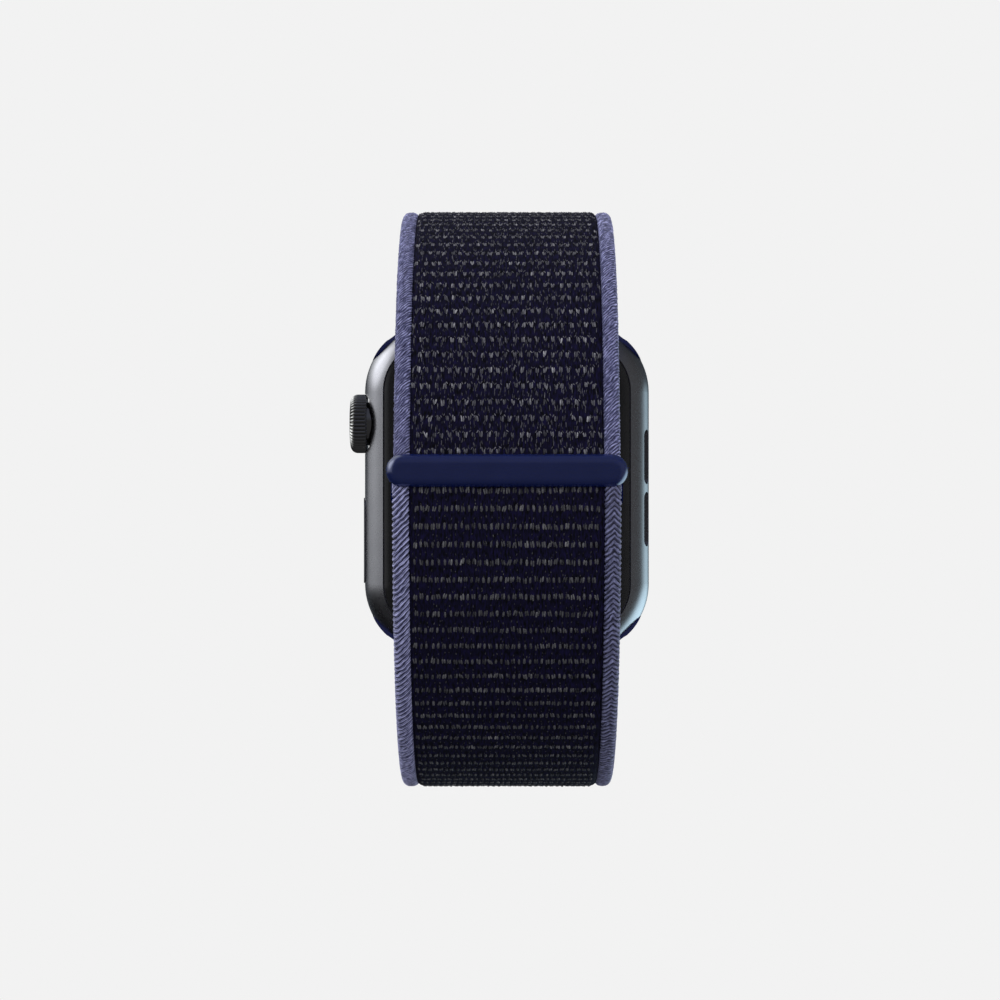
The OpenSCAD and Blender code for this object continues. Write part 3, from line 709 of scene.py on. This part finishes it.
dress(METAL, "case_frame", "side_button")
dress(CERAMIC, "back_plate")
dress(GLASS, "back_crystal", "front_glass", "display_panel")
dress(SEAL, "back_gasket", "display_gasket", "crown_seal", "side_button_seal")
dress(BOARD, "sensor_board", "logic_board")
dress(LED, "sensor_leds")
dress(DIODE, "photodiodes")
dress(COPPER, "charge_coil")
dress(STEEL, "charge_magnet", "board_shields", "haptic_housing", "haptic_mass", "haptic_springs",
      "microphone",
      "crown_shaft", "release_spring_upper", "release_spring_lower", "connector_catches")
dress(FLEX, "display_flex")
dress(WRAP, "battery")
dress(DARK, "speaker_module", "crown_encoder", "speaker_mesh")
dress(CROWN, "crown_wheel")
dress(INLAY, "crown_ring")
dress(SWITCH, "crown_plunger", "crown_switch", "side_button_switch")
dress(BRONZE, "crown_bushing")
dress(RELEASE, "release_button_upper", "release_button_lower")
dress(NAVY, "end_tab")
dress(NAVY_PAINTED_HIGHLIGHT, "connector_upper", "connector_lower")
dress(BUCKLE, "buckle_ring")
dress(HOOKS, "hook_patch")

# The crown's cap: a turned rim whose grooves run over both of its rounded ends

CASE_Y, CROWN_Z = 29.6, 8.6
CAP_R, CAP_IN, CAP_OUT = 3.93, 18.66, 20.9
CAP_ROUND, RIM_ROUND = 0.95, 0.15
NECK_R, NECK_IN = 2.88, 17.3
INLAY_IN, INLAY_OUT, INLAY_DEPTH = 2.15, 2.5, 0.2
GROOVES, GROOVE_DEPTH = 48, 0.2


def crown_profile():
    """The cap's half section, face to neck: place on the axis, radius, its outward normal, groove weight."""
    soft = 0.02
    face = [(CAP_OUT, INLAY_IN - soft), (CAP_OUT - soft, INLAY_IN), (CAP_OUT - INLAY_DEPTH, INLAY_IN),
            (CAP_OUT - INLAY_DEPTH, INLAY_OUT), (CAP_OUT - soft, INLAY_OUT), (CAP_OUT, INLAY_OUT + soft)]
    rows = [(x, r, 1.0, 0.0, 0.0) for x, r in face]
    for t in np.radians(np.linspace(0, 90, 12)):
        rows.append((CAP_OUT - CAP_ROUND * (1 - math.cos(t)), CAP_R - CAP_ROUND * (1 - math.sin(t)),
                     math.cos(t), math.sin(t), min(1.0, t / 0.5)))
    for t in np.radians(np.linspace(0, 90, 10)):
        rows.append((CAP_IN + RIM_ROUND * (1 - math.sin(t)), CAP_R - RIM_ROUND * (1 - math.cos(t)),
                     -math.sin(t), math.cos(t), min(1.0, (math.pi / 2 - t) / 0.4)))
    rows += [(CAP_IN, NECK_R, -1.0, 0.0, 0.0), (NECK_IN, NECK_R, 0.0, 1.0, 0.0)]
    return np.array(rows)


def crown_cap(name, steps=12):
    x, r, nx, nr, cut = [column[:, None] for column in crown_profile().T]
    a = np.linspace(0, 2 * np.pi, GROOVES * steps, endpoint=False)[None, :]
    groove = cut * GROOVE_DEPTH * (1 - np.abs(np.sin(GROOVES * a / 2)) ** 0.8)
    out, radius = x - nx * groove, r - nr * groove
    verts = np.stack([-out, CASE_Y + radius * np.cos(a), CROWN_Z + radius * np.sin(a)], -1).reshape(-1, 3)
    idx = np.arange(len(verts)).reshape(out.shape)
    nxt = np.roll(idx, -1, 1)
    faces = np.stack([idx[:-1], nxt[:-1], nxt[1:], idx[1:]], -1).reshape(-1, 4).tolist()
    faces += [idx[0, ::-1].tolist(), idx[-1].tolist()]
    ob = mesh_object(name, verts * MM, faces)
    ob.data.set_sharp_from_angle(angle=math.radians(50))
    return ob


o = crown_cap("crown_cap_fluted")
add(o, CROWN, "crown")
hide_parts("crown_cap")

# Stage: a pale floor that sweeps up into a backdrop

FLOOR_Z = -0.16
SWEEP_R = 1.2
sweep = [(SWEEP_R + SWEEP_R * math.sin(a), FLOOR_Z + SWEEP_R - SWEEP_R * math.cos(a))
         for a in np.radians(range(5, 91, 5))]
profile = [(-3.0, FLOOR_Z), (SWEEP_R, FLOOR_Z)] + sweep + [(2 * SWEEP_R, 4.0)]
verts = [(x, y, z) for y, z in profile for x in (-4.0, 4.0)]
faces = [(2 * i, 2 * i + 1, 2 * i + 3, 2 * i + 2) for i in range(len(profile) - 1)]
floor = mesh_object("floor", verts, faces)
pale = bpy.data.materials.new("floor_card")
pale.use_nodes = True
card = pale.node_tree.nodes["Principled BSDF"]
card.inputs["Base Color"].default_value = (0, 0, 0, 1)
card.inputs["Specular IOR Level"].default_value = 0.0
card.inputs["Emission Color"].default_value = srgb(242, 242, 242)
card.inputs["Emission Strength"].default_value = 1.0
floor.data.materials.append(pale)
floor.visible_diffuse = floor.visible_glossy = floor.visible_shadow = False

# Light: a soft sky for diffuse light, and softboxes in a dark room for reflections

world = bpy.data.worlds.new("studio")
bpy.context.scene.world = world
world.use_nodes = True
world.cycles.sampling_method = "NONE"
wt = world.node_tree
wt.nodes.clear()
way = node(wt, "ShaderNodeTexCoord").outputs["Generated"]
split = node(wt, "ShaderNodeSeparateXYZ")
link(wt, way, split.inputs[0])
rays = node(wt, "ShaderNodeLightPath")


def lobe(direction, near, far):
    """One inside the near cosine from a direction, and none beyond the far one."""
    dot = node(wt, "ShaderNodeVectorMath", operation="DOT_PRODUCT")
    link(wt, way, dot.inputs[0])
    dot.inputs[1].default_value = Vector(direction).normalized()
    fade = node(wt, "ShaderNodeMapRange", interpolation_type="SMOOTHSTEP")
    fade.inputs["From Min"].default_value, fade.inputs["From Max"].default_value = far, near
    link(wt, dot.outputs["Value"], fade.inputs["Value"])
    return fade.outputs["Result"]


def cut_below(shape, low, high):
    """A shape that fades out between two heights of the way out, and is gone below the lower."""
    fade = node(wt, "ShaderNodeMapRange", interpolation_type="SMOOTHSTEP")
    fade.inputs["From Min"].default_value, fade.inputs["From Max"].default_value = low, high
    link(wt, split.outputs["Z"], fade.inputs["Value"])
    both = node(wt, "ShaderNodeMath", operation="MULTIPLY")
    link(wt, shape, both.inputs[0])
    link(wt, fade.outputs["Result"], both.inputs[1])
    return both.outputs[0]


def softbox(shape, colour, shade=None):
    """A lobe of one colour, less what a second lobe shades."""
    tint = node(wt, "ShaderNodeVectorMath", operation="SCALE")
    tint.inputs[0].default_value = colour
    if shade is not None:
        keep = node(wt, "ShaderNodeMath", operation="MULTIPLY_ADD")
        minus = node(wt, "ShaderNodeMath", operation="MULTIPLY")
        link(wt, shape, minus.inputs[0])
        minus.inputs[1].default_value = -1.0
        link(wt, minus.outputs[0], keep.inputs[0])
        link(wt, shade, keep.inputs[1])
        link(wt, shape, keep.inputs[2])
        shape = keep.outputs[0]
    link(wt, shape, tint.inputs["Scale"])
    return tint.outputs["Vector"]


def total(first, *rest):
    for r in rest:
        n = node(wt, "ShaderNodeVectorMath", operation="ADD")
        link(wt, first, n.inputs[0])
        link(wt, r, n.inputs[1])
        first = n.outputs["Vector"]
    return first


def background(colour, strength=1.0):
    n = node(wt, "ShaderNodeBackground")
    if isinstance(colour, tuple):
        n.inputs["Color"].default_value = colour
    else:
        link(wt, colour, n.inputs["Color"])
    n.inputs["Strength"].default_value = strength
    return n


def choose(switch, off, on):
    n = node(wt, "ShaderNodeMixShader")
    link(wt, rays.outputs[switch], n.inputs[0])
    link(wt, off.outputs[0], n.inputs[1])
    link(wt, on.outputs[0], n.inputs[2])
    return n


sky = background((1, 1, 1, 1))
link(wt, map_range(wt, split.outputs["Z"], 0.30, 1.75, -1.0, 1.0), sky.inputs["Strength"])
room = background(total(
    softbox(lobe((0, -1, 0), 0.9, -1.0), (0.050, 0.050, 0.055)),
    softbox(lobe((0, 1, 0.3), 0.9, 0.2), (0.06, 0.07, 0.08)),
    softbox(cut_below(lobe((-1.0, 0.1, 0.0), 0.92, 0.55), -0.13, -0.04), (0.62, 0.635, 0.66),
            lobe((-0.3, 0.95, 0.0), 0.97, 0.70)),
    softbox(lobe((-0.88, 0.1, 0.48), 0.975, 0.885), (1.7, 1.72, 1.8)),
    softbox(lobe((-0.55, 0.55, 0.63), 0.95, 0.82), (0.88, 0.9, 0.92)),
    softbox(lobe((1.0, -0.1, 0.0), 0.95, 0.50), (0.090, 0.092, 0.095)),
    softbox(lobe((0.69, 0.60, -0.42), 0.99, 0.81), (1.42, 1.94, 2.22)),
    softbox(lobe((0.0, -0.3, 1.0), 0.85, 0.45), (0.042, 0.046, 0.075))))
card_view = background(srgb(242, 242, 242))
out = node(wt, "ShaderNodeOutputWorld")
link(wt, choose("Is Camera Ray", choose("Is Glossy Ray", sky, room), card_view).outputs[0],
     out.inputs["Surface"])

# Camera: level, square to the band, at the photograph's distance

cam = bpy.data.cameras.new("camera")
cam.lens, cam.sensor_width = 89.64, 36.0
cam.shift_x = -0.0069
cam.clip_start, cam.clip_end = 0.01, 20
cam_ob = bpy.data.objects.new("camera", cam)
cam_ob.location = (0, -0.304, -0.0016)
cam_ob.rotation_euler = (math.radians(90), 0, 0)
bpy.context.scene.collection.objects.link(cam_ob)
bpy.context.scene.camera = cam_ob

bpy.context.scene.view_settings.view_transform = "Standard"

bpy.context.view_layer.update()
